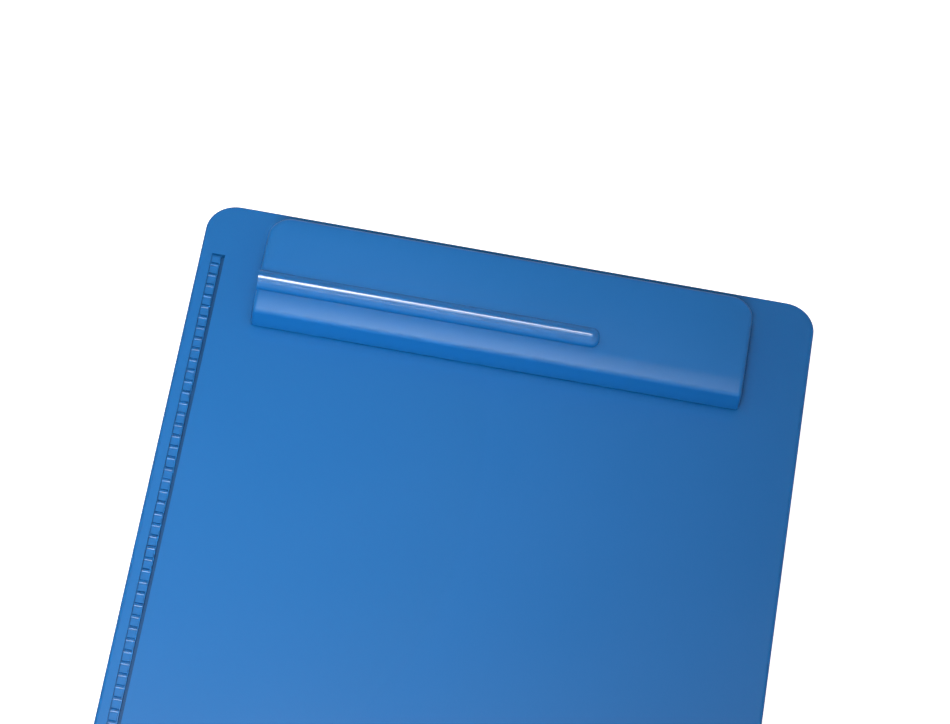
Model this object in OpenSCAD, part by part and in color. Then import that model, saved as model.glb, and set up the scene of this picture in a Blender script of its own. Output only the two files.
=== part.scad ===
// Storage clipboard box: a clipboard plate that is the hinged lid of a shallow document tray.
// X runs to the right, Y towards the clip end and Z up. The origin is under the middle of the tray.

/* [Clipboard plate] */
// Width of the plate
plate_w = 240; // [225:1:270]
// Length of the plate
plate_l = 345; // [330:1:380]
// Thickness of the plate
plate_t = 2.6; // [2.2:0.1:3.4]
// Corner radius of the plate in plan
plate_corner = 12; // [9:1:18]
// Rounding of the plate's upper edge
plate_edge = 1.2; // [0.6:0.1:1.8]
// Height of the closed box up to the face of the plate
closed_h = 30; // [26:1:45]

/* [Lid skirt] */
// Thickness of the skirt under the plate's edge
skirt_t = 2.2; // [1.6:0.1:3]
// Height of the skirt below the plate
skirt_h = 5; // [3:0.5:5]
// Gap between the skirt and the tray at both ends
skirt_gap = 0.7; // [0.4:0.1:1.5]

/* [Tray] */
// Thickness of the tray's walls
tray_wall = 2.4; // [1.8:0.1:3.2]
// Thickness of the tray's floor
tray_floor = 2.2; // [1.8:0.1:3.2]
// Distance from the plate's long edges in to the tray's walls
side_inset = 7.6; // [7.6:0.1:12]
// Rounding of the tray's lower edge
tray_edge = 3; // [2:0.5:5]
// Height of the moulded feet
foot_h = 1; // [0.6:0.1:2]
// Radius of the moulded feet
foot_r = 8; // [5:0.5:10]
// Width of the pen bay at the front
pen_bay = 31; // [22:1:45]
// Height of the rib between the papers and the pen bay
divider_h = 15; // [8:1:18]

/* [Hinge] */
// Radius of the hinge knuckles
knuckle_r = 3.2; // [2.8:0.1:3.2]
// Length of one knuckle
knuckle_l = 12; // [8:1:16]
// Knuckles in each of the two hinges
knuckles = 5; // [3:2:7]
// Radius of the hinge pins
hinge_pin_r = 1.5; // [1:0.1:1.8]
// Distance of each hinge's middle from the end of the tray
hinge_inset = 64.6; // [50:0.1:90]

/* [Clip] */
// Width of the clip
clip_w = 190; // [175:1:200]
// Height of the clip's flat face above the plate
clip_h = 10; // [9.6:0.1:12]
// Distance from the plate's rear edge to the clip
clip_rear = 8; // [6:0.5:14]
// Length of the flat face, from the clip's rear edge to the start of the lip
clip_flat = 37.6; // [36.6:0.1:42]
// Radius of the lip's broad crest
crest_r = 32; // [24:0.5:40]
// Slope at which the crest turns into the nose
crest_slope = 11; // [8:1:14]
// Radius of the lip's nose
nose_r = 2; // [1.6:0.1:2.6]
// Slope of the lip's front face
front_slope = 84; // [76:1:88]
// Wall thickness of the clip
clip_wall = 2.2; // [1.8:0.1:2.6]
// Corner radius at the clip's rear
clip_corner = 9; // [6:0.5:14]
// Corner radius at the lip
lip_corner = 3; // [2:0.5:5]
// Rounding of the clip's upper edge
clip_edge = 2; // [1:0.1:2.4]
// Width of the jaw's land
jaw_land = 6; // [5:0.5:7]
// Furthest that the clip opens, in degrees
clip_open = 15; // [8:1:15]

/* [Pen channel] */
// Outer radius of the half-round pen channel
pen_outer_r = 4.4; // [4:0.1:4.8]
// Radius of its bore
pen_bore_r = 3.5; // [2.8:0.1:3.6]
// Length of the channel from the clip's left side to its rounded end
pen_l = 133; // [90:1:150]
// Distance from the clip's rear edge to the middle of the channel
pen_y = 32.2; // [31.4:0.1:33]

/* [Clip pivot] */
// Distance from the clip's rear edge to the pivot
pivot_y = 19; // [17:0.5:20]
// Height of the pivot above the plate
pivot_z = 4.2; // [4:0.1:4.6]
// Distance of each bracket's middle from the clip's end
bracket_inset = 35; // [25:0.5:60]
// Radius of the clip's pins
clip_pin_r = 1.5; // [1.2:0.05:1.6]
// Thickness of the bracket's steel
bracket_t = 1; // [0.8:0.1:1.1]
// Width between the bracket's ears
bracket_gap = 12; // [11:0.5:14]
// Length of the bracket's base
bracket_l = 20; // [20:0.5:24]
// Radius of the rivets' shanks
rivet_r = 1.25; // [0.8:0.05:1.4]
// Distance of the front rivets from the bracket's middle line
rivet_side = 4; // [3.6:0.1:4.4]
// Distance of the rivets in front of and behind the pivot
rivet_along = 7.4; // [7:0.1:7.6]

/* [Clip springs] */
// Diameter of the spring wire
wire_d = 0.9; // [0.6:0.05:1]
// Mean radius of the coil
coil_r = 2.3; // [2.15:0.05:2.4]
// Distance from one turn to the next
coil_pitch = 1.4; // [1.35:0.05:1.6]
// Whole turns in the coil, besides the half turn between the legs
coil_turns = 5; // [3:1:5]
// Length of the legs
leg_l = 8; // [6:0.5:8.5]

/* [Latch] */
// Width of the latch
latch_w = 44; // [30:1:60]
// Radius of the latch's barrel
latch_barrel_r = 2.4; // [2:0.1:2.4]
// Radius of the latch's pin
latch_pin_r = 1; // [0.8:0.05:1.2]
// Height of the latch's lower end above the table
latch_foot = 5; // [4:0.5:8]
// Radius of the snap beads
bead_r = 0.6; // [0.4:0.1:0.7]

/* [Scale] */
// Distance from the plate's left edge to the scale's channel
scale_x = 4.6; // [4.2:0.1:6]
// Width of the channel
scale_w = 5.1; // [4.6:0.1:6]
// Depth of the channel
scale_depth = 1.2; // [1:0.1:1.4]
// Distance from the plate's rear edge to the rear end of the scale
scale_end = 24; // [18:0.5:32]
// Length of the scale
scale_l = 300; // [250:10:310]
// Distance between its rungs
scale_step = 5; // [5:1:10]
// Width of a rung
rung_w = 0.8; // [0.5:0.1:1.2]
// Width of the slot behind each rung
slot_w = 1; // [0.5:0.1:1.4]
// Depth of those slots
slot_depth = 0.6; // [0.3:0.1:0.7]
// Depth of the groove beside the rungs
groove_depth = 1.9; // [1:0.1:2]
// Width of that groove
groove_w = 1.3; // [0.6:0.1:1.6]

/* [Hidden] */
$fn = 64;

body_blue = [0.16, 0.42, 0.72];
steel = [0.75, 0.76, 0.78];

// Running clearance of a pin in a turning bore, and of one in a bore that holds it
run_fit = 0.06;
hold_fit = 0.03;
// Gap between flat faces that move past each other
side_gap = 0.4;
// Extra length of a cutting shape past the face it cuts
cut = 1;

plate_under = closed_h - plate_t;
plate_rear = plate_l / 2;
lid_rest_gap = 0.1;
tray_top = plate_under - lid_rest_gap;
tray_w = plate_w - 2 * side_inset;
tray_l = plate_l - 2 * (skirt_t + skirt_gap);
tray_corner = plate_corner - 2;

hinge_x = -(tray_w / 2 + knuckle_r + 0.6);
hinge_y = tray_l / 2 - hinge_inset;
hinge_z = plate_under - knuckle_r - 0.8;
knuckle_gap = 0.4;
hinge_l = knuckles * knuckle_l + (knuckles - 1) * knuckle_gap;

locate_t = 1.5;
locate_h = 3;
locate_gap = 0.5;
// The locating rib stops this far from the hinge side, so that it lifts clear of the wall
locate_relief = 14;

pen_channel_x = -clip_w / 2;
pen_right = pen_channel_x + pen_l;
pen_tip_r = 1;
clip_y = plate_rear - clip_rear;
lip_clear = 0.5;
pad_clear = 0.05;
pad_w = 3.6;
pad_slot_depth = 1.2;
pad_l = clip_w - 16;
pivot = [clip_y - pivot_y, closed_h + pivot_z];
boss_r = 3.4;
boss_t = 2.5;
ear_r = 2.6;
bracket_w = bracket_gap + 2 * bracket_t;
boss_in = bracket_w / 2 + 0.3;
pin_end = boss_in + boss_t + 0.3;
head_t = 0.8;
rivet_head_r = 2;
// The plan that rounds the lip's corners stands this far outside the clip's sides and front
plan_spare = 0.3;

latch_x = tray_w / 2 + latch_barrel_r + 0.3;
latch_z = plate_under - latch_barrel_r - 0.8;
latch_ear_t = 3;
latch_face = tray_w / 2 + bead_r + 0.4;
latch_t = 2.8;
latch_notch = latch_w / 2 + side_gap + latch_ear_t + 1;
bead_z = latch_foot + 10;
latch_bead_r = 0.35;
// Where the flap bends in above its foot, and the radius of that bend
latch_bend_z = 6.5;
latch_bend_r = 4.2;
foot_inset = 26;

bracket_x = clip_w / 2 - bracket_inset;

scale_left = -plate_w / 2 + scale_x;
scale_rear = plate_rear - scale_end;
strip_gap = 0.2;
strip_w = scale_w - strip_gap - groove_w;
strip_t = scale_depth - 0.25;
rung_h = 0.2;
rung_soft = 0.15;
rung_l = strip_w - 0.5;

// Points along an arc about c, from angle a to angle b
function arc(c, r, a, b, n = 10) =
    [for (i = [0 : n]) c + r * [cos(a + (b - a) * i / n), sin(a + (b - a) * i / n)]];

// A rectangle with round corners, about the origin
module round_plan(w, l, r) {
    square([w - 2 * r, l], center = true);
    square([w, l - 2 * r], center = true);
    for (x = [-1, 1], y = [-1, 1])
        translate([x * (w / 2 - r), y * (l / 2 - r)])
            circle(r = r);
}

// A profile, drawn outwards from the outline, swept round a rectangle with round corners
module rim_sweep(w, l, r) {
    for (i = [0 : 3]) {
        out = (i % 2 == 0 ? w : l) / 2;
        along = (i % 2 == 0 ? l : w) / 2 - r;
        rotate([0, 0, 90 * i]) {
            translate([out, along, 0])
                rotate([90, 0, 0])
                    linear_extrude(2 * along)
                        children();
            translate([out - r, along, 0])
                rotate_extrude(angle = 90)
                    translate([r, 0])
                        children();
        }
    }
}

// A plate with round corners and a rounded lower edge
module soft_slab(w, l, h, r, e) {
    translate([0, 0, e])
        linear_extrude(h - e)
            round_plan(w, l, r);
    linear_extrude(h)
        round_plan(w - 2 * e, l - 2 * e, r - e);
    rim_sweep(w - 2 * e, l - 2 * e, r - e)
        intersection() {
            translate([0, e])
                circle(r = e);
            translate([-e / 2, 0])
                square([1.5 * e, e]);
        }
}

// The same with its upper edge rounded, standing on z = 0
module soft_top_slab(w, l, h, r, e) {
    translate([0, 0, h])
        mirror([0, 0, 1])
            soft_slab(w, l, h, r, e);
}

// A profile drawn in (y, z), extruded along X about x
module along_x(x, w) {
    translate([x - w / 2, 0, 0])
        rotate([90, 0, 90])
            linear_extrude(w)
                children();
}

// A profile drawn in (x, z), extruded along Y about y
module along_y(y, l) {
    translate([0, y + l / 2, 0])
        rotate([90, 0, 0])
            linear_extrude(l)
                children();
}

// Middle of knuckle i of the hinge about y
function knuckle_y(y, i) = y - hinge_l / 2 + knuckle_l / 2 + i * (knuckle_l + knuckle_gap);

module knuckle_bore(y, r) {
    along_y(y, hinge_l + 2 * cut)
        translate([hinge_x, hinge_z])
            circle(r = r);
}

module base_tray() {
    inner_w = tray_w - 2 * tray_wall;
    inner_l = tray_l - 2 * tray_wall;
    inner_r = tray_corner - tray_wall;
    divider_y = -inner_l / 2 + pen_bay;
    color(body_blue)
    difference() {
        union() {
            difference() {
                translate([0, 0, foot_h])
                    soft_slab(tray_w, tray_l, tray_top - foot_h, tray_corner, tray_edge);
                translate([0, 0, foot_h + tray_floor])
                    soft_slab(inner_w, inner_l, closed_h, inner_r, tray_edge - 1);
            }
            // Rib between the papers and the pen bay, with a dip for the fingers
            difference() {
                translate([-inner_w / 2 - cut / 2, divider_y, foot_h + tray_floor - cut / 2])
                    cube([inner_w + cut, 1.8, divider_h + cut / 2]);
                translate([0, divider_y - cut, foot_h + tray_floor + divider_h + 26])
                    rotate([-90, 0, 0])
                        cylinder(r = 34, h = 1.8 + 2 * cut);
            }
            for (x = [-1, 1], y = [-1, 1])
                translate([x * (tray_w / 2 - foot_inset), y * (tray_l / 2 - foot_inset), 0])
                    cylinder(r = foot_r, h = foot_h + tray_floor / 2);
            // Hinge knuckles on their brackets along the left wall
            for (y = [-hinge_y, hinge_y], i = [0 : 2 : knuckles - 1])
                along_y(knuckle_y(y, i), knuckle_l) {
                    translate([hinge_x, hinge_z])
                        circle(r = knuckle_r);
                    translate([hinge_x, hinge_z - knuckle_r])
                        square([-hinge_x - tray_w / 2 + tray_wall / 2, 2 * knuckle_r]);
                }
            // Snap bead for the latch
            along_y(0, latch_w - 6)
                translate([tray_w / 2, bead_z])
                    circle(r = bead_r);
        }
        for (y = [-hinge_y, hinge_y])
            knuckle_bore(y, hinge_pin_r + hold_fit);
    }
}

module lid_plate() {
    pocket_w = plate_w - 2 * skirt_t;
    pocket_l = plate_l - 2 * skirt_t;
    rib_w = tray_w - 2 * (tray_wall + locate_gap);
    rib_l = tray_l - 2 * (tray_wall + locate_gap);
    rib_r = tray_corner - tray_wall - locate_gap;
    color(body_blue)
    difference() {
        union() {
            difference() {
                translate([0, 0, plate_under - skirt_h])
                    soft_top_slab(plate_w, plate_l, plate_t + skirt_h, plate_corner, plate_edge);
                translate([0, 0, plate_under - skirt_h - cut])
                    linear_extrude(skirt_h + cut)
                        round_plan(pocket_w, pocket_l, plate_corner - skirt_t);
                for (y = [-hinge_y, hinge_y])
                    translate([-plate_w / 2 - cut, y - hinge_l / 2 - 1.6, plate_under - skirt_h - cut])
                        cube([skirt_t + 2 * cut, hinge_l + 3.2, skirt_h + cut]);
                translate([plate_w / 2 - skirt_t - cut, -latch_notch, plate_under - skirt_h - cut])
                    cube([skirt_t + 2 * cut, 2 * latch_notch, skirt_h + cut]);
            }
            // Locating rib inside the tray's walls
            difference() {
                translate([0, 0, plate_under - locate_h])
                    linear_extrude(locate_h + plate_t / 2)
                        difference() {
                            round_plan(rib_w, rib_l, rib_r);
                            round_plan(rib_w - 2 * locate_t, rib_l - 2 * locate_t, rib_r - locate_t);
                        }
                translate([-tray_w / 2, -plate_l / 2, plate_under - locate_h - cut])
                    cube([locate_relief, plate_l, locate_h + cut]);
            }
            // Hinge knuckles hung from the plate
            for (y = [-hinge_y, hinge_y], i = [1 : 2 : knuckles - 1])
                along_y(knuckle_y(y, i), knuckle_l) {
                    translate([hinge_x, hinge_z])
                        circle(r = knuckle_r);
                    translate([hinge_x - knuckle_r, hinge_z])
                        square([knuckle_r * 1.5, plate_under + plate_t / 2 - hinge_z]);
                }
            // Ears that carry the latch
            for (y = [-1, 1])
                along_y(y * (latch_w / 2 + side_gap + latch_ear_t / 2), latch_ear_t) {
                    translate([latch_x, latch_z])
                        circle(r = latch_barrel_r);
                    translate([latch_x - latch_barrel_r, latch_z])
                        square([2 * latch_barrel_r, plate_under + plate_t / 2 - latch_z]);
                }
            // Thicker pads under the clip's brackets
            for (x = [-bracket_x, bracket_x])
                translate([x - bracket_w / 2 - 3, pivot[0] - bracket_l / 2 - 3, plate_under - 0.8])
                    cube([bracket_w + 6, bracket_l + 6, 0.8 + plate_t / 2]);
        }
        for (y = [-hinge_y, hinge_y])
            knuckle_bore(y, hinge_pin_r + run_fit);
        along_y(0, 2 * latch_notch)
            translate([latch_x, latch_z])
                circle(r = latch_pin_r + hold_fit);
        // Channel of the scale, and the deeper groove beside it
        translate([scale_left, scale_rear - scale_l, closed_h - scale_depth])
            cube([scale_w, scale_l, scale_depth + cut]);
        translate([scale_left + scale_w - groove_w, scale_rear - scale_l, closed_h - groove_depth])
            cube([groove_w, scale_l, groove_depth + cut]);
        for (p = rivet_places)
            translate([p[0], p[1], plate_under - cut - 0.8])
                cylinder(r = rivet_r + hold_fit, h = plate_t + 0.8 + 2 * cut);
    }
}

// Ladder scale that lies in the plate's channel
module scale_strip() {
    rungs = floor(scale_l / scale_step) - 1;
    floor_z = closed_h - scale_depth;
    front = scale_rear - scale_l + strip_gap;
    left = scale_left + strip_gap;
    color(body_blue) {
        difference() {
            translate([left, front, floor_z])
                cube([strip_w, scale_l - 2 * strip_gap, strip_t]);
            for (i = [1 : rungs])
                translate([left - cut, scale_rear - i * scale_step, floor_z + strip_t - slot_depth])
                    cube([rung_l + cut, rung_w / 2 + slot_w, slot_depth + cut]);
        }
        // Rail along the right side
        translate([left + rung_l, front, floor_z])
            cube([strip_w - rung_l, scale_l - 2 * strip_gap, strip_t + rung_h]);
        for (i = [1 : rungs])
            translate([0, scale_rear - i * scale_step, floor_z])
                along_x(left + rung_l / 2 + 0.05, rung_l + 0.1)
                    polygon([[-rung_w / 2, 0.1], [-rung_w / 2, strip_t],
                        [-rung_w / 2 + rung_soft, strip_t + rung_h],
                        [rung_w / 2 - rung_soft, strip_t + rung_h],
                        [rung_w / 2, strip_t + rung_h - rung_soft], [rung_w / 2, 0.1]]);
    }
}

// Headed pin of a hinge
module hinge_pin(y) {
    head_r = hinge_pin_r + 0.9;
    color(steel) {
        along_y(y, hinge_l + 0.6)
            translate([hinge_x, hinge_z])
                circle(r = hinge_pin_r);
        for (s = [-1, 1])
            along_y(y + s * (hinge_l / 2 + 0.1 + head_t / 2), head_t)
                translate([hinge_x, hinge_z])
                    circle(r = head_r);
    }
}

// Lower edge of the clip's side walls: it rises behind the pivot so that the rear can go down
function wedge_z(y) = 0.8 + max(0, y + pivot_y) * tan(clip_open);

// Outline of the clip from the side, its rear edge at y = 0 and the plate at z = 0
crest_end = [-clip_flat, clip_h - crest_r] + crest_r * [-sin(crest_slope), cos(crest_slope)];
nose_c = crest_end + nose_r * [sin(crest_slope), -cos(crest_slope)];
nose_end = nose_c + nose_r * [-sin(front_slope), cos(front_slope)];
lip_front = round(10 * (nose_end[0] - (nose_end[1] - lip_clear) / tan(front_slope))) / 10;
clip_l = -lip_front;
// Length of the round-cornered slab that the clip is the rear part of
clip_block = 120;
clip_outline = concat(
    [[0, wedge_z(0)], [0, clip_h]],
    arc([-clip_flat, clip_h - crest_r], crest_r, 90, 90 + crest_slope),
    arc(nose_c, nose_r, 90 + crest_slope, 90 + front_slope, 8),
    [[lip_front, lip_clear], [lip_front + jaw_land, lip_clear], [lip_front + jaw_land, wedge_z(-pivot_y)],
     [-pivot_y, wedge_z(-pivot_y)]]);

// Hollow of the clip from the side
clip_hollow = [
    [-clip_wall, -cut], [-clip_wall, clip_h - clip_wall], [-clip_flat, clip_h - clip_wall],
    [lip_front + jaw_land, clip_h - clip_wall - 2.2], [lip_front + jaw_land, -cut]];

// Long pen channel: a round bar whose right end is rounded to a small flat tip
module pen_bar(r, left, right) {
    round_r = r - pen_tip_r;
    translate([left, -pen_y, clip_h])
        rotate([0, 90, 0])
            rotate_extrude()
                intersection() {
                    union() {
                        square([r, right - left - round_r]);
                        translate([pen_tip_r, right - left - round_r])
                            circle(r = round_r);
                        square([pen_tip_r, right - left]);
                    }
                    square([r, right - left]);
                }
}

module clip_lever() {
    color(body_blue)
    translate([0, clip_y, closed_h])
    difference() {
        union() {
            difference() {
                intersection() {
                    along_x(0, clip_w + 2 * cut)
                        polygon(clip_outline);
                    translate([0, -clip_block / 2, 0])
                        soft_top_slab(clip_w, clip_block, clip_h, clip_corner, clip_edge);
                    translate([0, 0, -cut])
                        linear_extrude(clip_h + 2 * cut)
                            round_plan(clip_w + 2 * plan_spare, 2 * (clip_l + plan_spare), lip_corner);
                }
                intersection() {
                    along_x(0, clip_w)
                        polygon(clip_hollow);
                    translate([0, -clip_wall - clip_block / 2, -cut])
                        linear_extrude(clip_h + cut)
                            round_plan(clip_w - 2 * clip_wall, clip_block, clip_corner - clip_wall);
                }
            }
            pen_bar(pen_outer_r, pen_channel_x, pen_right);
            // Webs that the pins pass through
            for (x = [-bracket_x, bracket_x], s = [-1, 1])
                along_x(x + s * (boss_in + boss_t / 2), boss_t) {
                    translate([-pivot_y, pivot_z])
                        circle(r = boss_r);
                    translate([-pivot_y - boss_r, pivot_z])
                        square([2 * boss_r, clip_h - clip_wall / 2 - pivot_z]);
                }
            // Stiffening ribs from the rear edge to the jaw
            for (x = [-clip_w / 6, 0, clip_w / 6])
                along_x(x, 1.6)
                    polygon([[-clip_wall / 2, clip_h - clip_wall / 2],
                             [lip_front + jaw_land - 0.5, clip_h - clip_wall / 2],
                             [lip_front + jaw_land - 0.5, 3], [-pivot_y, 3],
                             [-clip_wall / 2, wedge_z(0) + 0.6]]);
        }
        pen_bar(pen_bore_r, pen_channel_x - cut, pen_right - pen_outer_r + pen_bore_r);
        along_x(0, 2 * (bracket_x + pin_end + cut))
            translate([-pivot_y, pivot_z])
                circle(r = clip_pin_r + run_fit);
        translate([-pad_l / 2, lip_front + jaw_land / 2 - pad_w / 2 + 0.2, -cut])
            cube([pad_l, pad_w, lip_clear + pad_slot_depth + cut]);
    }
}

// Rubber strip in the jaw, with two grooves along its face
module jaw_pad() {
    side = 0.1;
    h = lip_clear + pad_slot_depth - pad_clear;
    y = clip_y + lip_front + jaw_land / 2 + 0.2;
    color([0.12, 0.12, 0.13])
    difference() {
        translate([-pad_l / 2 + side, y - pad_w / 2 + side, closed_h + pad_clear])
            cube([pad_l - 2 * side, pad_w - 2 * side, h]);
        for (s = [-1, 1])
            translate([-pad_l / 2, y + s * pad_w / 6 - 0.2, closed_h + pad_clear - cut])
                cube([pad_l, 0.4, cut + 0.3]);
    }
}

// Two rivets in front of the pivot and one behind it, in each bracket
rivet_pattern = [[-rivet_side, -rivet_along], [rivet_side, -rivet_along], [0, rivet_along]];
rivet_places = [for (x = [-bracket_x, bracket_x], p = rivet_pattern) [x + p[0], pivot[0] + p[1]]];

// Steel bracket with two ears for the pin
module clip_bracket(x) {
    color(steel)
    difference() {
        union() {
            translate([x - bracket_w / 2, pivot[0] - bracket_l / 2, closed_h])
                cube([bracket_w, bracket_l, bracket_t]);
            for (s = [-1, 1])
                along_x(x + s * (bracket_gap + bracket_t) / 2, bracket_t) {
                    translate(pivot)
                        circle(r = ear_r);
                    polygon([[pivot[0] - ear_r, pivot[1]], [pivot[0] + ear_r, pivot[1]],
                             [pivot[0] + ear_r + 2, closed_h], [pivot[0] - ear_r - 2, closed_h]]);
                }
        }
        along_x(x, bracket_w + 2 * cut)
            translate(pivot)
                circle(r = clip_pin_r + hold_fit);
        for (p = rivet_places)
            translate([p[0], p[1], closed_h - cut])
                cylinder(r = rivet_r + hold_fit, h = bracket_t + 2 * cut);
    }
}

// Headed pin of the clip: the head is on the left
module clip_pin(x) {
    color(steel) {
        along_x(x, 2 * pin_end + 1.6)
            translate(pivot)
                circle(r = clip_pin_r);
        along_x(x - pin_end - head_t / 2, head_t)
            translate(pivot)
                circle(r = clip_pin_r + 0.9);
    }
}

// Push-on washers that hold the pins' right ends
module pin_retainers() {
    color(steel)
    for (x = [-bracket_x, bracket_x])
        difference() {
            along_x(x + pin_end + 0.3, 0.6)
                translate(pivot)
                    circle(r = clip_pin_r + 1.1);
            along_x(x + pin_end, 4)
                translate(pivot)
                    circle(r = clip_pin_r + 0.01);
        }
}

// Middle line of a clip spring: each entry is x, y, z and the direction of its outer side.
// It comes along the bracket's base, winds up round the pin and leaves under the clip.
spring_half = (coil_turns + 0.5) * coil_pitch / 2;
spring_rings = 8 * coil_turns + 4;
leg_low = bracket_t + wire_d / 2 + 0.1 - pivot_z;
leg_high = clip_h - clip_wall - wire_d / 2 - 0.25 - pivot_z;
spring_line = concat(
    [[-spring_half, leg_l, leg_low, -90], [-spring_half, leg_l / 2, (leg_low - coil_r) / 2, -90]],
    [for (i = [0 : spring_rings])
        [-spring_half + 2 * spring_half * i / spring_rings,
         coil_r * cos(-90 - 45 * i), coil_r * sin(-90 - 45 * i), -90 - 45 * i]],
    [[spring_half, leg_l / 2, (leg_high + coil_r) / 2, -90 - 45 * spring_rings],
     [spring_half, leg_l, leg_high, -90 - 45 * spring_rings]]);
function spring_at(i) = [spring_line[i][0], spring_line[i][1], spring_line[i][2]];
// Two stretches of wire count as neighbours when they are most of a turn apart
spring_self_gap = min([for (i = [0 : len(spring_line) - 1], j = [i + 6 : len(spring_line) - 1])
    norm(spring_at(i) - spring_at(j))]) - wire_d;
echo(least_gap_of_the_spring_to_itself_mm = spring_self_gap);

module clip_spring(x) {
    sides = 6;
    rings = len(spring_line);
    points = [for (p = spring_line, k = [0 : sides - 1])
        [p[0] + wire_d / 2 * sin(360 * k / sides),
         p[1] + wire_d / 2 * cos(360 * k / sides) * cos(p[3]),
         p[2] + wire_d / 2 * cos(360 * k / sides) * sin(p[3])]];
    walls = [for (i = [0 : rings - 2], k = [0 : sides - 1])
        let (a = i * sides + k, b = i * sides + (k + 1) % sides)
        each [[a, b, a + sides], [b, b + sides, a + sides]]];
    ends = [for (k = [1 : sides - 2])
        each [[0, k + 1, k], [(rings - 1) * sides, (rings - 1) * sides + k, (rings - 1) * sides + k + 1]]];
    color(steel)
    translate([x, pivot[0], pivot[1]])
        polyhedron(points = points, faces = concat(walls, ends));
}

// Rivets through the brackets and the plate
module bracket_rivets() {
    top = closed_h + bracket_t;
    bottom = plate_under - 0.8;
    color(steel)
    for (p = rivet_places)
        translate([p[0], p[1], 0]) {
            translate([0, 0, bottom])
                cylinder(r = rivet_r, h = top - bottom);
            translate([0, 0, top])
                rotate_extrude()
                    intersection() {
                        translate([0, -1.6])
                            circle(r = 2.6);
                        square([rivet_head_r, 2]);
                    }
            translate([0, 0, bottom - 0.7])
                cylinder(r = rivet_head_r + 0.3, h = 0.7);
        }
}

// Flap that hangs from the plate and snaps over the bead on the tray
module latch() {
    barrel_l = latch_w;
    flap_outer = latch_face + latch_t;
    color(body_blue)
    difference() {
        union() {
            along_y(0, barrel_l)
                translate([latch_x, latch_z])
                    circle(r = latch_barrel_r);
            along_y(0, latch_w)
                polygon(concat(
                    [[latch_face, latch_z], [flap_outer, latch_z], [flap_outer, latch_foot + latch_bend_z]],
                    arc([flap_outer + latch_bend_r, latch_foot + latch_bend_z], latch_bend_r, 180, 225, 6),
                    [[plate_w / 2 - 0.6, latch_foot + 2.2], [plate_w / 2 - 0.6, latch_foot + 0.8],
                     [plate_w / 2 - 1.4, latch_foot], [latch_face + 1, latch_foot],
                     [latch_face, latch_foot + 1]]));
            // Snap bead, just below the one on the tray
            along_y(0, latch_w - 6)
                translate([latch_face, bead_z - bead_r - latch_bead_r - 0.5])
                    circle(r = latch_bead_r);
        }
        along_y(0, latch_w + 2 * cut)
            translate([latch_x, latch_z])
                circle(r = latch_pin_r + run_fit);
        // Round lower corners
        for (s = [-1, 1])
            translate([latch_face - cut, s * latch_w / 2, latch_foot])
                rotate([0, 90, 0])
                    difference() {
                        translate([-4, -4, 0])
                            cube([8, 8, 12]);
                        translate([-4, -s * 4, -cut])
                            cylinder(r = 4, h = 12 + 2 * cut);
                        translate([-12, -8, -cut])
                            cube([8, 16, 14]);
                        translate([-8, s > 0 ? -12 : 4, -cut])
                            cube([16, 8, 14]);
                    }
    }
}

module latch_pin() {
    half = latch_w / 2 + side_gap + latch_ear_t;
    color(steel) {
        along_y(0, 2 * half + 0.4)
            translate([latch_x, latch_z])
                circle(r = latch_pin_r);
        for (s = [-1, 1])
            along_y(s * (half + 0.1 + 0.3), 0.6)
                translate([latch_x, latch_z])
                    circle(r = latch_pin_r + 0.6);
    }
}

base_tray();
lid_plate();
scale_strip();
hinge_pin(-hinge_y);  // hinge_pin_front
hinge_pin(hinge_y);  // hinge_pin_rear
clip_lever();
jaw_pad();
clip_bracket(-bracket_x);  // clip_bracket_left
clip_bracket(bracket_x);  // clip_bracket_right
clip_pin(-bracket_x);  // clip_pin_left
clip_pin(bracket_x);  // clip_pin_right
pin_retainers();
clip_spring(-bracket_x);  // clip_spring_left
clip_spring(bracket_x);  // clip_spring_right
bracket_rivets();
latch();
latch_pin();
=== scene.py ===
"""Looks of a storage clipboard box: a clipboard plate that is the hinged lid of a document tray.

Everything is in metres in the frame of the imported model: X to the right, Y towards the clip, Z up.
"""

import math

import bmesh
import bpy
from bpy.props import FloatProperty, FloatVectorProperty, IntProperty, PointerProperty
from mathutils import Matrix, Vector


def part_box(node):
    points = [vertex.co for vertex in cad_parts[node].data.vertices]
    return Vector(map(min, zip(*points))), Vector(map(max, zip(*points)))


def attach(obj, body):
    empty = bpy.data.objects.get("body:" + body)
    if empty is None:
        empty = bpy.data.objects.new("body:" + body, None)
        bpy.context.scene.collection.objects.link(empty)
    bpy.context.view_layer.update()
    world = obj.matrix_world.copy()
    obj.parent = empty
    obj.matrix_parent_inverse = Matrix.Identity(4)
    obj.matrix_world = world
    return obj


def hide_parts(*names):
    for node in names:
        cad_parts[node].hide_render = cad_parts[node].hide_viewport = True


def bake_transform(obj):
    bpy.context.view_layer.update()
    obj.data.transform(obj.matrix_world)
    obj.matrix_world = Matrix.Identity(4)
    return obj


bl_info = {
    "name": "Storage clipboard box",
    "version": (1, 0, 0),
    "blender": (4, 5, 0),
    "location": "View3D > Sidebar > Clipboard box",
    "description": "Builds the fine pieces, the finishes and the studio of a storage clipboard box",
    "category": "Object",
}

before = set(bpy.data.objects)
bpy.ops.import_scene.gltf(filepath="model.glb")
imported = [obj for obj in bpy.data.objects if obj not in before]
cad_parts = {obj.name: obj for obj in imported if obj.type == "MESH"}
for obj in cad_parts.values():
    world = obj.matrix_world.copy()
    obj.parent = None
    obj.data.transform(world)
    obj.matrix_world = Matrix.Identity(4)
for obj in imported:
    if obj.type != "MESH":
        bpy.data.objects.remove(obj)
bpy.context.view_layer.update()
MM = 0.001
PLATE_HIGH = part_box("lid_plate")[1]
CLIP_LOW, CLIP_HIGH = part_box("clip_lever")
SCALE_LOW, SCALE_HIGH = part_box("scale_strip")
PAD_LOW, PAD_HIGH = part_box("jaw_pad")

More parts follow.
